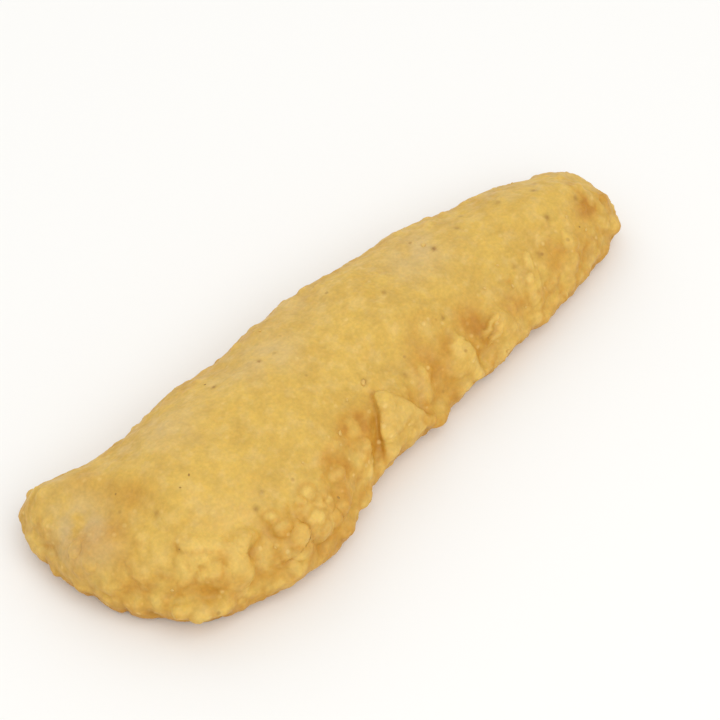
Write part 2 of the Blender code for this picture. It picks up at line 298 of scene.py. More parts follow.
        # Pale flecks, more of them on the walls: partly pale crumbs, partly painted glints of oil.
        flecks = add_node(tree, "ShaderNodeTexVoronoi", {
            "Vector": place, "Scale": 1.0 / (self.fleck_mm * MM)})
        lucky = add_node(tree, "ShaderNodeSeparateColor", {"Color": flecks.outputs["Color"]})
        near = span(flecks.outputs["Distance"], 0.30, 0.10)
        near = times(near, span(lucky.outputs[1], 0.55, 0.9))
        skin = over(skin, self.fleck, times(near, span(mask("wall"), 0.0, 0.8, (0.25, 0.55))))
        grain = times(span(lumps(self.grain_mm, 3.0), 0.30, 0.70, (0.94, 1.045)),
                      span(lumps(2.4, 2.0), 0.32, 0.68, (0.955, 1.04)))
        skin = add_node(tree, "ShaderNodeMix", {0: 1.0, 6: skin, 7: grain},
                        data_type="RGBA", blend_type="MULTIPLY").outputs[2]
        low, high = self.roughness
        fine = add_node(tree, "ShaderNodeBump", {
            "Height": lumps(self.crumb_mm, 2.0), "Strength": 0.28, "Distance": 0.10 * MM})
        relief = add_node(tree, "ShaderNodeBump", {
            "Height": lumps(1.5, 3.0), "Strength": 0.5, "Distance": 0.22 * MM,
            "Normal": fine.outputs["Normal"]})
        shader = add_node(tree, "ShaderNodeBsdfPrincipled", {
            "Base Color": skin,
            "Roughness": span(lumps(3.0), 0.35, 0.65, (low, high)),
            "Normal": relief.outputs["Normal"],
            "IOR": 1.47,
            "Subsurface Weight": 0.18,
            "Subsurface Radius": (1.0, 0.55, 0.2),
            "Subsurface Scale": 1.6 * MM,
        })
        add_node(tree, "ShaderNodeOutputMaterial", {"Surface": shader.outputs["BSDF"]})
        return material


@dataclass(frozen=True)
class CrispBatter:
    """Drops of batter that set on their own, thin and crisp: paler and drier than the crust."""

    cream: str = "#ddb868"
    golden: str = "#cfa651"
    roughness: float = 0.5

    def material(self) -> bpy.types.Material:
        """Builds the shader.

        Returns:
            The material.
        """
        material = bpy.data.materials.new("crisp batter drops")
        material.use_nodes = True
        tree = material.node_tree
        tree.nodes.clear()
        place = add_node(tree, "ShaderNodeTexCoord").outputs["Object"]
        patch = add_node(tree, "ShaderNodeTexNoise", {"Vector": place, "Scale": 1.0 / (2.5 * MM)})
        colour = add_node(tree, "ShaderNodeMix", {
            0: patch.outputs["Fac"], 6: linear(self.cream), 7: linear(self.golden)}, data_type="RGBA")
        shader = add_node(tree, "ShaderNodeBsdfPrincipled", {
            "Base Color": colour.outputs[2], "Roughness": self.roughness, "IOR": 1.47,
            "Subsurface Weight": 0.2, "Subsurface Radius": (1.0, 0.6, 0.25), "Subsurface Scale": 1.0 * MM})
        add_node(tree, "ShaderNodeOutputMaterial", {"Surface": shader.outputs["BSDF"]})
        return material


@dataclass(frozen=True)
class ScorchedBatter:
    """Specks of batter and spice that burnt in the oil: small, dull and dark brown."""

    dark: str = "#8a6229"
    brown: str = "#a67e36"
    roughness: float = 0.7

    def material(self) -> bpy.types.Material:
        """Builds the shader.

        Returns:
            The material.
        """
        material = bpy.data.materials.new("scorched fry specks")
        material.use_nodes = True
        tree = material.node_tree
        tree.nodes.clear()
        tone = add_node(tree, "ShaderNodeAttribute", attribute_name="tone").outputs["Fac"]
        colour = add_node(tree, "ShaderNodeMix", {
            0: tone, 6: linear(self.dark), 7: linear(self.brown)}, data_type="RGBA")
        shader = add_node(tree, "ShaderNodeBsdfPrincipled", {
            "Base Color": colour.outputs[2], "Roughness": self.roughness})
        add_node(tree, "ShaderNodeOutputMaterial", {"Surface": shader.outputs["BSDF"]})
        return material


# --- the solid's skin ---

class Skin:
    """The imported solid's surface, for placing batter on it."""

    def __init__(self, solid: bpy.types.Object) -> None:
        """Reads the solid's mesh once.

        Args:
            solid: the CAD node.
        """
        bm = bmesh.new()
        bm.from_mesh(solid.data)
        bmesh.ops.remove_doubles(bm, verts=bm.verts, dist=0.001 * MM)
        self.mesh = bpy.data.meshes.new("fillet core")
        bm.to_mesh(self.mesh)
        self.tree = BVHTree.FromBMesh(bm)
        bm.free()
        low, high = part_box(solid.name)
        self.low, self.high = low / MM, high / MM
        self.length = self.high.x - self.low.x

    def above(self, x: float, y: float) -> tuple[Vector, Vector]:
        """The upper surface over a place in plan.

        Args:
            x: along the fillet, in millimetres.
            y: across it.

        Returns:
            The place on the surface and its normal; the nearest ones where nothing is under (x, y).
        """
        start = Vector((x, y, self.high.z + 10.0)) * MM
        hit, normal, _, _ = self.tree.ray_cast(start, Vector((0.0, 0.0, -1.0)))
        if hit is None:
            hit, normal, _, _ = self.tree.find_nearest(Vector((x, y, 6.0)) * MM)
        return hit / MM, normal

    def at(self, along: float, across: float) -> Vector:
        """A place on the upper surface, by shares of the fillet's own length and width.

        Args:
            along: 0 at the blunt end, 1 at the tail end.
            across: 0 at the ragged front edge, 1 at the back edge, measured at that place along.

        Returns:
            The place, in millimetres.
        """
        x = self.low.x + self.length * min(max(along, 0.015), 0.985)
        edges = []
        for y, way in ((self.low.y - 10.0, 1.0), (self.high.y + 10.0, -1.0)):
            hit, _, _, _ = self.tree.ray_cast(Vector((x, y, HEM_HEIGHT)) * MM, Vector((0.0, way, 0.0)))
            edges.append(hit.y / MM)
        front, back = edges
        place, _ = self.above(x, front + across * (back - front))
        return place

    def hem(self, step: float) -> list[tuple[Vector, Vector]]:
        """The widest line round the fillet, where its batter hem is.

        Args:
            step: distance between two places on it, in millimetres.

        Returns:
            Places on the hem, anticlockwise from the tail, each with its outward direction.
        """
        middle = 0.5 * (self.low + self.high)
        reach = self.length
        rough = []
        turns = 720
        for i in range(turns):
            turn = 2.0 * math.pi * i / turns
            # An ellipse's own parameter spreads the places evenly along the two long sides.
            half_width = 0.5 * (self.high.y - self.low.y)
            aim = Vector((math.cos(turn) * 0.5 * self.length, math.sin(turn) * half_width, 0.0))
            spine = Vector((middle.x + aim.x * 0.72, middle.y - 0.03 * aim.x, 0.0))
            out = Vector((aim.x - aim.x * 0.72, aim.y, 0.0)).normalized()
            best = None
            for height in np.arange(3.0, 12.0, 1.0):
                start = Vector((spine.x, spine.y, height)) + out * reach
                hit, _, _, _ = self.tree.ray_cast(start * MM, -out)
                if hit is None:
                    continue
                if best is None or (hit / MM - best).dot(out) > 0.0:
                    best = hit / MM
            if best is not None:
                rough.append(best)
        line = [rough[0]]
        for point in rough[1:]:
            if (point.xy - line[-1].xy).length >= step:
                line.append(point)
        placed = []
        for i, point in enumerate(line):
            along = (line[(i + 1) % len(line)] - line[i - 1]).xy.normalized()
            placed.append((point, Vector((along.y, -along.x, 0.0))))
        return placed


class Dough:
    """Lumps of batter gathered in one mesh."""

    def __init__(self) -> None:
        """Makes the ball that every lump is a stretched copy of."""
        ball = bmesh.new()
        bmesh.ops.create_icosphere(ball, subdivisions=2, radius=0.5)
        self.ball = np.array([vertex.co[:] for vertex in ball.verts])
        self.ball_faces = np.array([[vertex.index for vertex in face.verts] for face in ball.faces])
        ball.free()
        self.points: list[np.ndarray] = []
        self.faces: list[np.ndarray] = []

    def lump(self, centre: Vector, forward: Vector, up: Vector, size: tuple[float, float, float]) -> None:
        """Adds one egg-shaped lump.

        Args:
            centre: its middle, in millimetres.
            forward: the direction of its length.
            up: the direction of its height.
            size: its length, width and height, in millimetres.
        """
        side = up.cross(forward).normalized()
        forward = side.cross(up).normalized()
        axes = np.array((forward, side, up.normalized()))
        self.faces.append(self.ball_faces + len(self.points) * len(self.ball))
        self.points.append((self.ball * size) @ axes + np.array(centre))

    def to_object(self, name: str) -> bpy.types.Object:
        """Makes the object.

        Args:
            name: its name.

        Returns:
            The object, linked to the scene.
        """
        mesh = bpy.data.meshes.new(name)
        mesh.from_pydata(np.concatenate(self.points) * MM, [], np.concatenate(self.faces))
        made = bpy.data.objects.new(name, mesh)
        bpy.context.scene.collection.objects.link(made)
        return made


def settle(piece: bpy.types.Object) -> None:
    """Works a piece's modifiers into its mesh.

    Args:
        piece: the object.
    """
    bpy.context.view_layer.update()
    graph = bpy.context.evaluated_depsgraph_get()
    mesh = bpy.data.meshes.new_from_object(piece.evaluated_get(graph))
    old = piece.data
    piece.modifiers.clear()
    piece.data = mesh
    bpy.data.meshes.remove(old)


def dress(piece: bpy.types.Object, material: bpy.types.Material) -> None:
    """Gives a piece its material, shades it smooth and ties it to the fillet.

    Args:
        piece: the object.
        material: its finish.
    """
    piece.data.materials.clear()
    piece.data.materials.append(material)
    for polygon in piece.data.polygons:
        polygon.use_smooth = True
    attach(piece, "root")
    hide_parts(NODE)
    log.info("%s: %d faces, %s", piece.name, len(piece.data.polygons), material.name)


# --- what the batter did ---

SHADED_SIDE = np.array((-0.68, 0.73))    # the side of a fold where the painted shade in its crease is deepest


@dataclass(frozen=True)
class Flap:
    """A thin three-cornered flap of batter that ran down the wall from its apex and set there."""

    along: float        # the apex, in shares of the fillet's length and width
    across: float
    heading: float      # the way it ran, in degrees from +X
    length: float       # from the apex to the foot, in millimetres
    width: float        # of the foot
    height: float
    rises: tuple[float, float, float]       # how far the left side, the foot and the right side take to rise
    shades: tuple[float, float, float]      # how much painted shade, orange-brown, lies in the crease beside each of them
    pale: float = 0.1                       # how creamy its top is

    def corners(self, apex: Vector) -> list[np.ndarray]:
        """The corners in plan, anticlockwise from the apex.

        Args:
            apex: where the apex sits on the skin.

        Returns:
            The apex, the left end of the foot and the right end.
        """
        turn = math.radians(self.heading)
        down = np.array((math.cos(turn), math.sin(turn)))
        sideways = np.array((-down[1], down[0])) * 0.5 * self.width
        top = np.array(apex.xy)
        return [top, top + down * self.length - sideways, top + down * self.length + sideways]

    def lies(self, place: np.ndarray, apex: Vector) -> tuple[np.ndarray, np.ndarray]:
        """Where the flap is.

        Args:
            place: points in millimetres, one row each.
            apex: where the apex sits on the skin.

        Returns:
            For each point the share of the flap's height there, and how much painted shade its crease puts
            there.
        """
        cover = np.ones(len(place))
        crease = np.zeros(len(place))
        corners = self.corners(apex)
        for i, (rise, shade) in enumerate(zip(self.rises, self.shades)):
            start = corners[i]
            side = corners[(i + 1) % len(corners)] - start
            length = np.linalg.norm(side)
            side = side / length
            off = place[:, :2] - start
            inward = side[0] * off[:, 1] - side[1] * off[:, 0]
            reach = off @ side
            past = np.maximum(np.maximum(-reach, reach - length), 0.0)
            cover = np.minimum(cover, ease(inward / rise + 0.5))
            away = np.hypot(np.minimum(inward, 0.0), past)
            # The crease beside each side is painted shade, deepest at the side itself.
            narrow = np.exp(-(away / 0.8) ** 2) + 0.3 * np.exp(-(away / 2.4) ** 2)
            crease = np.maximum(crease, shade * narrow * (inward < 0.4))
        return cover, crease * (1.0 - cover)


@dataclass(frozen=True)
class Fold:
    """A rounded fold or bead of batter that ran down the skin and set there."""

    along: float        # its place, in shares of the fillet's length and width
    across: float
    heading: float      # of its length, in degrees from +X
    length: float
    width: float
    height: float
    shade: float = 0.6  # how much painted shade, orange-brown, the crease round it has
    pale: float = 0.0   # how creamy its top is

    def lies(self, place: np.ndarray, middle: Vector) -> tuple[np.ndarray, np.ndarray]:
        """Where the fold is.

        Args:
            place: points in millimetres, one row each.
            middle: where the fold sits on the skin.

        Returns:
            For each point the share of the fold's height there, and how much painted shade its crease puts
            there, most on one side.
        """
        turn = math.radians(self.heading)
        off = place[:, :2] - np.array(middle.xy)
        along = off @ np.array((math.cos(turn), math.sin(turn)))
        across = off @ np.array((-math.sin(turn), math.cos(turn)))
        reach = np.hypot(2.0 * along / self.length, 2.0 * across / self.width)
        mean_radius = 0.25 * (self.length + self.width)
        ring = np.exp(-((reach - 1.1) * mean_radius / 1.2) ** 2)
        # The crease's painted shade is deepest on one side of the fold.
        facing = 0.5 + 0.5 * (off @ SHADED_SIDE) / (np.linalg.norm(off, axis=1) + 0.01)
        return np.clip(1.0 - reach**2, 0.0, 1.0) ** 0.7, self.shade * ring * (0.2 + 0.8 * facing)


@dataclass(frozen=True)
class Spot:
    """A round place on the skin with a colour of its own, its edge lost in the batter round it."""

    x: float
    y: float
    z: float
    spread: float
    strength: float

    def tints(self, place: np.ndarray) -> np.ndarray:
        """How much each point has the spot's colour.

        Args:
            place: points in millimetres, one row each.

        Returns:
            A share for each point.
        """
        off = place - np.array((self.x, self.y, self.z))
        return self.strength * np.exp(-(off**2).sum(axis=1) / self.spread**2)


class Mark(Enum):
    """What a zone's spots are. The value also seeds that kind's random places."""

    SWELL = "swells"
    BEAD = "beads"
    DOT = "dots"
    STAIN = "stains"
    THIN = "thins"
    PALE = "pales"


@dataclass(frozen=True)
class Zone:
    """A part of the fillet where the same kind of spot comes again and again, at random places."""

    along: tuple[float, float]      # shares of the length, from the blunt end to the tail end
    across: tuple[float, float]     # shares of the width, from the ragged front edge to the back
    count: int
    spread: tuple[float, float]     # a spot's radius, in millimetres
    strength: tuple[float, float]

    def spots(self, skin: Skin, rng: random.Random) -> list[Spot]:
        """Scatters the zone's spots on the skin.

        Args:
            skin: what they lie on.
            rng: the source of random draws.

        Returns:
            The spots, spaced evenly along the zone and shaken.
        """
        made = []
        for i in range(self.count):
            low, high = self.along
            along = low + (high - low) * (i + rng.random()) / self.count
            place = skin.at(along, rng.uniform(*self.across))
            made.append(Spot(*place, rng.uniform(*self.spread), rng.uniform(*self.strength)))
        return made


@dataclass(frozen=True)
class FryMarks:
    """How this fillet's batter ran, set and browned: a few named folds, and zones of random spots."""

    # The three flaps on the front wall, over the solid's own: the broad tongue and two knobs.
    flaps: tuple[Flap, ...] = (
        Flap(0.45, 0.19, -85.0, 9.0, 15.0, 1.25, (1.1, 4.0, 1.5), (0.85, 0.0, 0.4)),
        Flap(0.61, 0.17, -118.0, 8.5, 12.0, 1.10, (3.4, 4.0, 3.0), (0.55, 0.0, 0.3)),
        Flap(0.69, 0.15, -82.0, 6.5, 15.0, 1.10, (3.6, 4.0, 3.8), (0.35, 0.0, 0.15)),
    )
    folds: tuple[Fold, ...] = (
        Fold(0.39, 0.14, 50.0, 4.5, 4.0, 0.40, 0.4, 0.5),      # along the solid's own ridges
        Fold(0.36, 0.09, 60.0, 5.0, 3.5, 0.30, 0.3, 0.3),
        Fold(0.53, 0.15, 75.0, 4.0, 2.5, 0.50, 0.3, 0.2),
        Fold(0.78, 0.21, 65.0, 5.0, 2.5, 0.80, 0.2, 1.0),
        Fold(0.76, 0.13, 60.0, 4.0, 3.0, 0.60, 0.3, 0.4),
        Fold(0.86, 0.17, 60.0, 5.0, 3.0, 0.50, 0.2, 0.2),
        Fold(0.60, 0.13, 5.0, 7.0, 2.0, 1.35, 0.1, 0.4),       # fine ridges on the two knobs
        Fold(0.60, 0.08, 20.0, 6.0, 2.0, 1.25, 0.2, 0.3),
        Fold(0.67, 0.11, 12.0, 8.0, 1.6, 1.30, 0.4, 0.5),
        Fold(0.67, 0.07, 12.0, 7.0, 1.6, 1.30, 0.4, 0.5),
        Fold(0.83, 0.07, 30.0, 8.0, 5.0, 0.80, 0.3),           # down to the tail end
        Fold(0.95, 0.30, 105.0, 10.0, 3.5, 0.60, 0.5),
        Fold(0.14, 0.08, 35.0, 8.5, 6.0, 0.80, 0.15, 0.8),     # soft lumps at the blunt end
        Fold(0.10, 0.17, 20.0, 7.5, 5.5, 0.60, 0.1, 0.6),
        Fold(0.09, 0.27, 60.0, 7.0, 5.5, 0.40, 0.0, 0.5),
        Fold(0.18, 0.08, 30.0, 5.0, 4.0, 0.50, 0.2, 0.5),
    )
    # Swells of the hem; their strength is in millimetres.
    swells: tuple[Zone, ...] = (
        Zone((0.02, 0.06), (0.05, 0.60), 4, (4.0, 5.0), (0.9, 1.7)),
        Zone((0.10, 0.32), (0.00, 0.05), 4, (4.0, 5.5), (0.7, 1.1)),
        Zone((0.20, 0.70), (0.88, 0.98), 4, (4.5, 6.0), (0.5, 1.2)),
    )
    # Beads of batter crowd low on the front of the blunt half; spread is their diameter.
    beads: tuple[Zone, ...] = (
        Zone((0.20, 0.33), (0.05, 0.15), 12, (1.7, 3.4), (1.0, 1.0)),
    )
    # Pores that opened in the hot oil, most of them towards the tail.
    dots: tuple[Zone, ...] = (
        Zone((0.72, 0.94), (0.20, 0.75), 9, (0.6, 0.8), (0.4, 0.9)),
        Zone((0.10, 0.70), (0.15, 0.80), 10, (0.5, 0.7), (0.4, 1.1)),
    )
    # Orange-brown stains: the blunt end, the low front, both sides of the flaps, and the tail end.
    stains: tuple[Zone, ...] = (
        Zone((0.02, 0.07), (0.20, 0.55), 4, (3.0, 3.6), (0.5, 0.9)),
        Zone((0.08, 0.12), (0.35, 0.80), 4, (3.4, 4.0), (0.25, 0.45)),
        Zone((0.08, 0.30), (0.00, 0.08), 6, (3.0, 5.0), (0.6, 1.0)),
        Zone((0.30, 0.60), (0.00, 0.06), 4, (3.0, 4.5), (0.6, 0.9)),
        Zone((0.32, 0.42), (0.08, 0.18), 5, (2.4, 4.0), (0.6, 0.9)),
        Zone((0.52, 0.74), (0.06, 0.20), 7, (2.0, 4.0), (0.7, 1.0)),
        Zone((0.80, 0.92), (0.05, 0.25), 3, (3.4, 4.4), (0.3, 0.6)),
        Zone((0.92, 0.98), (0.08, 0.35), 5, (1.8, 3.2), (0.7, 0.9)),
        Zone((0.25, 0.80), (0.95, 1.00), 3, (4.5, 6.0), (0.4, 0.6)),
    )
    # Thin batter that the fish shows through, on the end facet and the top.
    thins: tuple[Zone, ...] = (
        Zone((0.02, 0.06), (0.35, 0.75), 3, (5.0, 7.0), (0.5, 0.9)),
        Zone((0.15, 0.88), (0.50, 0.92), 7, (6.0, 7.0), (0.3, 0.55)),
    )
    # Creamy raised places at the blunt end and over the beads: partly paler batter, partly a painted
    # highlight.
    pales: tuple[Zone, ...] = (
        Zone((0.09, 0.20), (0.08, 0.25), 4, (3.6, 4.6), (0.4, 0.7)),
        Zone((0.22, 0.30), (0.05, 0.12), 1, (4.2, 4.6), (0.4, 0.5)),
    )
    seed: int = 8

    def spots(self, skin: Skin, kind: Mark) -> list[Spot]:
        """The spots of every zone of one kind.

        Args:
            skin: what they lie on.
            kind: which zones.

        Returns:
            The spots, the same each time for the same kind.
        """
        zones = {
            Mark.SWELL: self.swells, Mark.BEAD: self.beads, Mark.DOT: self.dots,
            Mark.STAIN: self.stains, Mark.THIN: self.thins, Mark.PALE: self.pales}
        rng = random.Random(f"{kind.value} {self.seed}")
        return [spot for zone in zones[kind] for spot in zone.spots(skin, rng)]


# --- the crust ---

@dataclass
class BatterCrust:
    """The crust: the solid's shape with everything that the batter did in the oil."""

    skin: Skin
    marks: FryMarks = field(default_factory=FryMarks)
    finish: FriedBatter = field(default_factory=FriedBatter)
    voxel: float = 0.5              # edge of the fused mesh's faces
    hem_pitch: float = 5.2          # mean spacing of the hem's scallops
    hem_thickness: float = 2.6
    nibs: int = 130                 # small crumbs of batter stuck round the hem and the walls
    lobe: tuple[float, float] = (5.4, 0.74)     # a blister's spacing and height, in millimetres
    bleb: tuple[float, float] = (2.5, 0.28)     # the same for the small ones between them
    bubble: tuple[float, float] = (1.9, 0.16)   # and for the fizz on the top
    swell_height: float = 0.24                  # slow rise and fall of the whole crust
    scallop: tuple[float, float] = (5.2, 1.5)   # spacing of the frill's scallops and how far they stand out
    blunt_end: float = -71.0                    # where the frill turns ragged, along X
    seed: int = 4
    stuck: list[tuple[Vector, float]] = field(default_factory=list)     # the beads, with diameters

    def build(self) -> bpy.types.Object:
        """Makes the crust.

        Returns:
            The crust's object, dressed and riding on the fillet.
        """
        rng = random.Random(self.seed)
        crust = self.fused(rng)
        self.relieve(crust.data)
        dress(crust, self.finish.material())
        return crust

    def fused(self, rng: random.Random) -> bpy.types.Object:
        """Sticks the lumps of batter on a smoothed core and fuses everything.

        Args:
            rng: the source of random draws.

        Returns:
            The fused object.
        """
        core = bpy.data.objects.new("fillet core", self.skin.mesh)
        bpy.context.scene.collection.objects.link(core)
        rounding = core.modifiers.new("round", "SUBSURF")
        rounding.levels = 2
        rounding.render_levels = 2
        settle(core)
        dough = Dough()
        self.add_hem(dough, rng)
        self.add_nibs(dough, rng)
        for bead in self.marks.spots(self.skin, Mark.BEAD):
            place, up, _, _ = self.skin.tree.find_nearest(Vector((bead.x, bead.y, bead.z)) * MM)
            across = bead.spread
            dough.lump(place / MM, Vector((1.0, 0.4, 0.0)), up, (1.15 * across, across, 0.62 * across))
            self.stuck.append((place / MM, across))
        crust = dough.to_object("batter_crust")
        whole = bmesh.new()
        whole.from_mesh(core.data)
        whole.from_mesh(crust.data)
        whole.to_mesh(crust.data)
        whole.free()
        bpy.data.objects.remove(core)
        fuse = crust.modifiers.new("fuse", "REMESH")
        fuse.mode = "VOXEL"
        fuse.voxel_size = self.voxel * MM
        soften = crust.modifiers.new("soften", "SMOOTH")
        soften.factor = 0.5
        soften.iterations = 4
        settle(crust)
        return crust

    def add_hem(self, dough: Dough, rng: random.Random) -> None:
        """Rounds lobes of batter out along the hem.

        Args:
            dough: what they are added to.
            rng: the source of random draws.
        """
        hem = self.skin.hem(1.0)
        place = 0.0
        while place < len(hem):
            pitch = self.hem_pitch * rng.uniform(0.55, 1.5)
            point, out = hem[int(place)]
            plain = point.y > 0.0 or -72.0 < point.x < -38.0
            ragged = 1.0 if point.x < -72.0 or not plain else 0.45
            stands = ragged * rng.uniform(-0.4, 1.3)
            along = Vector((-out.y, out.x, rng.uniform(-0.25, 0.25)))
            up = (Vector((0.0, 0.0, 1.0)) + out * rng.uniform(0.0, 0.5)).normalized()
            depth = rng.uniform(3.6, 5.2)
            centre = point + out * (stands - 0.5 * depth) + Vector((0, 0, rng.uniform(-0.8, 0.9)))
            size = (pitch * 1.12, depth, self.hem_thickness * rng.uniform(0.8, 1.25))
            dough.lump(centre, along, up, size)
            place += pitch

    def add_nibs(self, dough: Dough, rng: random.Random) -> None:
        """Sticks small crumbs of batter round the hem and on the walls.

        Args:
            dough: what they are added to.
            rng: the source of random draws.
        """
        hem = self.skin.hem(1.0)
        for _ in range(self.nibs):
            point, out = rng.choice(hem)
            inset = 9.0 * rng.random() ** 1.6
            place, up = self.skin.above(point.x - out.x * inset, point.y - out.y * inset)
            across = rng.uniform(0.9, 2.1)
            forward = Vector((rng.uniform(-1, 1), rng.uniform(-1, 1), 0.1))
            size = (across * rng.uniform(1.0, 1.6), across, across * rng.uniform(0.6, 0.85))
            dough.lump(place - up * 0.05 * across, forward, up, size)

    def relieve(self, mesh: bpy.types.Mesh) -> None:
        """Raises blisters and grain, and stores the masks that the finish reads, pores among them.

        Args:
            mesh: the crust's mesh.
        """
        count = len(mesh.vertices)
        place = np.empty(count * 3, np.float32)
        mesh.vertices.foreach_get("co", place)
        place = place.reshape(-1, 3).astype(float) / MM
        normal = np.empty(count * 3, np.float32)
        mesh.vertex_normals.foreach_get("vector", normal)
        normal = normal.reshape(-1, 3).astype(float)

        up = normal[:, 2]
        wander = noise_field(place, 14.0, 1, 2)
        wall = ease((0.93 - up + 0.12 * wander) / 0.40)
        front = ease((2.0 - place[:, 1]) / 10.0)
        lively = wall * (0.60 + 0.40 * front)
        bottom = ease((1.2 - place[:, 2]) / 1.2)
        above_hem = ease((place[:, 2] - 1.5) / 3.0) * ease((up + 0.1) / 0.3)

        bent = place + 1.5 * np.stack([noise_field(place, 5.0, k) for k in (11, 12, 13)], axis=1)
        shiver = np.stack([noise_field(place, 2.6, k) for k in (14, 15, 16)], axis=1)
        shaken = 0.35 * (bent - place) + 0.9 * shiver
        cover = np.zeros(count)
        crease = np.zeros(count)
        stand = np.zeros(count)
        creamy = np.zeros(count)
        for mark in (*self.marks.folds, *self.marks.flaps):
            wobble = 0.25 * (bent - place) if isinstance(mark, Flap) else shaken
            inside, beside = mark.lies(place + wobble, self.skin.at(mark.along, mark.across))
            inside, beside = inside * above_hem, beside * above_hem
            creamy = np.maximum(creamy, mark.pale * inside)
            crease = np.maximum(crease, beside) * (1.0 - inside)
            stand = np.maximum(stand, mark.height * inside)
            cover = np.maximum(cover, inside)

        beaded = np.zeros(count)
        for middle, across in self.stuck:
            off = np.linalg.norm(place - np.array(middle), axis=1) / across
            beaded = np.maximum(beaded, ease((0.75 - off) / 0.4))
            # A ring of painted shade round each bead.
            crease = np.maximum(crease, 0.50 * np.exp(-((off - 0.90) / 0.25) ** 2))
        crease *= 1.0 - beaded

        swell = noise_field(place, 9.0, 2, 2)
        ripple = noise_field(place * (1.0, 0.6, 1.0), 3.6, 8, 2)
        down = bent * (1.0, 1.0, 0.62)
        lobe, seam, share = blister_field(down, self.lobe[0], 4)
        bleb, rim, chance = blister_field(bent, self.bleb[0], 5)
        grain = noise_field(place, 1.4, 6, 2)
        rough = lively * (1.0 - 0.6 * cover)
        stretched = (place + 0.8 * (bent - place)) * (1.0, 1.0, 0.35)
        scallop, notch, size = blister_field(stretched, self.scallop[0], 17)
        ragged = 0.30 + 0.70 * ease((self.blunt_end - place[:, 0]) / 7.0)
        frill = ease((8.0 - place[:, 2]) / 3.5) * ease((0.7 - up) / 0.4) * ragged
        # Painted shade in the notches of the frill.
        crease = np.maximum(crease, 0.60 * frill * notch * (1.0 - cover))
        fizz = ease((noise_field(place, 16.0, 9) + 0.25) / 0.5) * ease((place[:, 0] + 10.0) / 25.0)
        bubble, _, odds = blister_field(bent, self.bubble[0], 6)
        lift = (stand
                + self.tinted(Mark.SWELL, place)
                + self.bubble[1] * (0.25 + 0.75 * fizz) * bubble * (odds > 0.5)
                + self.swell_height * swell
                + (0.11 + 0.12 * rough) * ripple
                + self.lobe[1] * rough * lobe * (0.35 + 0.65 * share)
                + (0.05 + self.bleb[1] * rough) * bleb * (chance > 0.45)
                + (0.05 + 0.05 * lively) * grain)
        lift *= 1.0 - bottom
        level = normal * (1.0, 1.0, 0.0)
        level /= np.linalg.norm(level, axis=1)[:, None] + 0.2
        outward = frill * (self.scallop[1] * scallop * (0.3 + 0.7 * size) - 0.5 * notch - 0.40)
        place += normal * lift[:, None] + level * outward[:, None]
        place[:, 2] = np.maximum(place[:, 2], 0.0)
        mesh.vertices.foreach_set("co", (place * MM).astype(np.float32).ravel())
        mesh.update()

        proud = self.proudness(mesh, place, normal)
        # Painted shade in hollows, by how far a point sinks under the smoothed surface.
        hollow = ease(-proud / 0.30) * (0.10 + 0.90 * wall)
        # Creases between blisters: partly browner thin batter, partly painted shade.
        seams = 0.55 * rough * seam + 0.30 * rough * rim * (chance > 0.45)
        pale = self.tinted(Mark.PALE, place) + 0.65 * beaded + creamy
        masks = {
            "wall": wall,
            # Cream on raised places: partly paler batter, partly a painted highlight.
            "raised": np.clip(0.70 * ease(proud / 0.36) * (0.25 + 0.75 * wall) + pale, 0.0, 1.0),
            # Orange in creases: partly browner thin batter, partly painted shade.
            "crease": np.clip(np.maximum(np.maximum(crease, seams), 0.8 * hollow), 0.0, 1.0),
            "stain": np.clip(self.tinted(Mark.STAIN, place), 0.0, 1.2) * (1.0 - 0.8 * cover),
            "thin": np.clip(self.tinted(Mark.THIN, place), 0.0, 1.0),
            "dot": np.clip(self.tinted(Mark.DOT, place), 0.0, 1.2),
            # Painted shade low on the walls that face sideways or down.
            "under": ease((9.0 - place[:, 2]) / 7.0) * ease((0.65 - up) / 0.6),
            # Painted shade along the bottom edge and in the frill's notches.
            "rim": np.maximum(ease((2.4 - place[:, 2]) / 2.0), 0.6 * frill * notch) * ease((0.6 - up) / 0.4),
        }
        for name, values in masks.items():
            layer = mesh.attributes.new(name, "FLOAT", "POINT")
            layer.data.foreach_set("value", values.astype(np.float32))

    def tinted(self, kind: Mark, place: np.ndarray) -> np.ndarray:
        """How much each point is in the spots of one kind.

        Args:
            kind: which of the marks' zones.
            place: points in millimetres, one row each.

        Returns:
            The spots' shares added together.
        """
        return sum(spot.tints(place) for spot in self.marks.spots(self.skin, kind))

    def proudness(self, mesh: bpy.types.Mesh, place: np.ndarray, normal: np.ndarray) -> np.ndarray:
        """How far each point stands out of the smoothed surface.

        Args:
            mesh: the crust's mesh.
            place: its points, in millimetres.
            normal: their normals.

        Returns:
            The height over the smoothed surface, in millimetres, under 0 in a crease.
        """
        ends = np.empty(len(mesh.edges) * 2, np.int32)
        mesh.edges.foreach_get("vertices", ends)
        first, second = ends.reshape(-1, 2).T
        links = np.bincount(first, minlength=len(place)) + np.bincount(second, minlength=len(place))
        even = place.copy()
        for _ in range(24):
            total = np.stack([
                np.bincount(first, weights=even[second, k], minlength=len(place))
                + np.bincount(second, weights=even[first, k], minlength=len(place))
                for k in range(3)], axis=1)
            even = 0.4 * even + 0.6 * total / links[:, None]
        return ((place - even) * normal).sum(axis=1)


# --- what lies on the crust ---

class Tone(Enum):
    """How far a speck has burnt, as the share that its finish mixes by."""

    SCORCHED = 0.0
    DARK = 0.35
    BROWN = 1.0


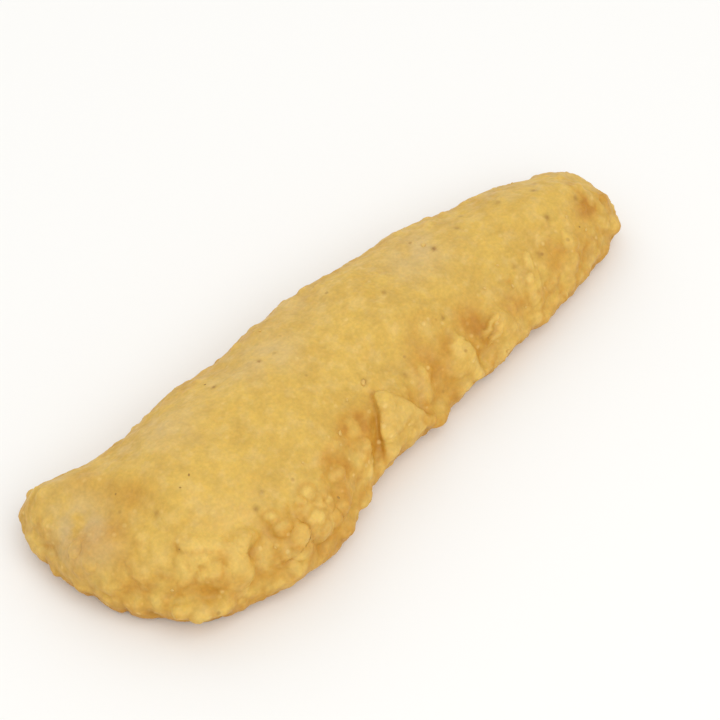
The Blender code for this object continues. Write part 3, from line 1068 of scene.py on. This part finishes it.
def scatter(crust: bpy.types.Object, count: int, rng: random.Random,
            wanted: Callable[[Vector, Vector], float]) -> list[tuple[Vector, Vector]]:
    """Picks random places on the crust, more of them where `wanted` says.

    Args:
        crust: the crust's object.
        count: how many places.
        rng: the source of random draws.
        wanted: from a place and a normal, in millimetres, to a share of 0 to 1.

    Returns:
        The places, in millimetres, and their normals.
    """
    vertices = crust.data.vertices
    found = []
    while len(found) < count:
        vertex = vertices[rng.randrange(len(vertices))]
        place, normal = vertex.co / MM, vertex.normal.copy()
        if rng.random() < wanted(place, normal):
            found.append((place, normal))
    return found


@dataclass
class CrispDroplets:
    """Pale drops and nibs of batter that landed on the crust and set there."""

    crust: bpy.types.Object
    finish: CrispBatter = field(default_factory=CrispBatter)
    count: int = 18
    smallest: float = 0.5
    largest: float = 1.2
    seed: int = 21

    def wanted(self, place: Vector, normal: Vector) -> float:
        """Most drops are near the ragged edge and the hem, a few on the top."""
        if place.z < 3.0 or normal.z < 0.0:
            return 0.0
        return 0.9 if place.y < -8.0 else 0.12

    def build(self) -> bpy.types.Object:
        """Makes the drops.

        Returns:
            One object that holds them all.
        """
        rng = random.Random(self.seed)
        dough = Dough()
        for place, normal in scatter(self.crust, self.count, rng, self.wanted):
            across = self.smallest + (self.largest - self.smallest) * rng.random() ** 2.2
            forward = Vector((rng.uniform(-1, 1), rng.uniform(-1, 1), rng.uniform(-0.3, 0.3)))
            size = (across * rng.uniform(1.0, 1.8), across, across * rng.uniform(0.5, 0.7))
            dough.lump(place + normal * 0.08 * across, forward, normal, size)
        drops = dough.to_object("batter_droplets")
        points = np.concatenate(dough.points)
        shaken = np.stack([noise_field(points, 0.9, self.seed + k) for k in range(3)], axis=1)
        drops.data.vertices.foreach_set("co", ((points + 0.12 * shaken) * MM).ravel())
        drops.data.update()
        dress(drops, self.finish.material())
        return drops


@dataclass
class FrySpecks:
    """Dark specks that burnt on while the batter fried."""

    crust: bpy.types.Object
    finish: ScorchedBatter = field(default_factory=ScorchedBatter)
    count: int = 11
    smallest: float = 0.35
    largest: float = 0.62
    seed: int = 33

    def wanted(self, place: Vector, normal: Vector) -> float:
        """Specks lie anywhere but underneath."""
        return 0.8 if normal.z > 0.1 and place.z > 4.0 else 0.0

    def build(self) -> bpy.types.Object:
        """Makes the specks.

        Returns:
            One object that holds them all.
        """
        rng = random.Random(self.seed)
        dough = Dough()
        tones = []
        for place, normal in scatter(self.crust, self.count, rng, self.wanted):
            across = self.smallest + (self.largest - self.smallest) * rng.random() ** 3
            forward = Vector((rng.uniform(-1, 1), rng.uniform(-1, 1), 0.0))
            dough.lump(place + normal * 0.02, forward, normal, (across * rng.uniform(1.0, 1.8), across, 0.12))
            tone = rng.choice((Tone.SCORCHED, Tone.DARK, Tone.BROWN, Tone.BROWN))
            tones += [tone.value] * len(dough.ball)
        specks = dough.to_object("fry_specks")
        layer = specks.data.attributes.new("tone", "FLOAT", "POINT")
        layer.data.foreach_set("value", tones)
        dress(specks, self.finish.material())
        return specks


# --- the studio ---

@dataclass
class Studio:
    """A white table under two soft lights, and the camera that looks down on the fillet."""

    azimuth: float = -47.0
    elevation: float = 50.0
    lens: float = 100.0
    distance: float = 0.45
    board: str = "#f4f3f0"

    def build(self) -> None:
        """Makes the floor, the lights and the camera."""
        self.make_floor()
        self.make_light()
        self.make_camera()

    def make_floor(self) -> None:
        """A wide matt white board."""
        bpy.ops.mesh.primitive_plane_add(size=8.0, location=(0.0, 0.0, 0.0))
        floor = bpy.context.object
        floor.name = "floor"
        material = bpy.data.materials.new("matt white board")
        material.use_nodes = True
        shader = material.node_tree.nodes["Principled BSDF"]
        shader.inputs["Base Color"].default_value = linear(self.board)
        shader.inputs["Roughness"].default_value = 0.9
        shader.inputs["Specular IOR Level"].default_value = 0.2
        floor.data.materials.append(material)

    def make_light(self) -> None:
        """An even white room, a large softbox high in front of the ragged edge and a weak one behind."""
        world = bpy.data.worlds.new("white room")
        bpy.context.scene.world = world
        world.use_nodes = True
        background = world.node_tree.nodes["Background"]
        background.inputs["Color"].default_value = (1.0, 1.0, 1.0, 1.0)
        background.inputs["Strength"].default_value = 0.80
        self.add_softbox("key", (-0.10, -0.50, 0.80), 0.9, 3.55)
        self.add_softbox("fill", (0.20, 0.65, 0.45), 0.7, 0.8)

    def add_softbox(self, name: str, place: tuple[float, float, float], size: float, power: float) -> None:
        """Adds one square softbox that faces the fillet.

        Args:
            name: its name.
            place: where it stands, in metres.
            size: its side, in metres.
            power: its power, in watts.
        """
        lamp = bpy.data.lights.new(name, "AREA")
        lamp.energy = power
        lamp.size = size
        box = bpy.data.objects.new(name, lamp)
        bpy.context.scene.collection.objects.link(box)
        box.location = place
        box.rotation_mode = "QUATERNION"
        box.rotation_quaternion = Vector(place).to_track_quat("Z", "Y")

    def make_camera(self) -> None:
        """The camera looks down on the middle of the fillet."""
        low, high = CAD_BOX
        middle = 0.5 * (low + high)
        turn, tilt = math.radians(self.azimuth), math.radians(self.elevation)
        back = Vector((math.sin(turn) * math.cos(tilt), -math.cos(turn) * math.cos(tilt), math.sin(tilt)))
        lens = bpy.data.cameras.new("camera")
        lens.lens = self.lens
        lens.clip_start = 0.01
        camera = bpy.data.objects.new("camera", lens)
        bpy.context.scene.collection.objects.link(camera)
        camera.location = middle + back * self.distance
        camera.rotation_mode = "QUATERNION"
        camera.rotation_quaternion = (-back).to_track_quat("-Z", "Y")
        bpy.context.scene.camera = camera


def main() -> None:
    """Builds the fillet's looks and the studio round it."""
    logging.basicConfig(level=logging.INFO, format="%(name)s: %(message)s")
    bpy.context.scene.view_settings.view_transform = "Standard"
    skin = Skin(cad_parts[NODE])
    crust = BatterCrust(skin).build()
    CrispDroplets(crust).build()
    FrySpecks(crust).build()
    Studio().build()


if __name__ == "__main__":
    main()
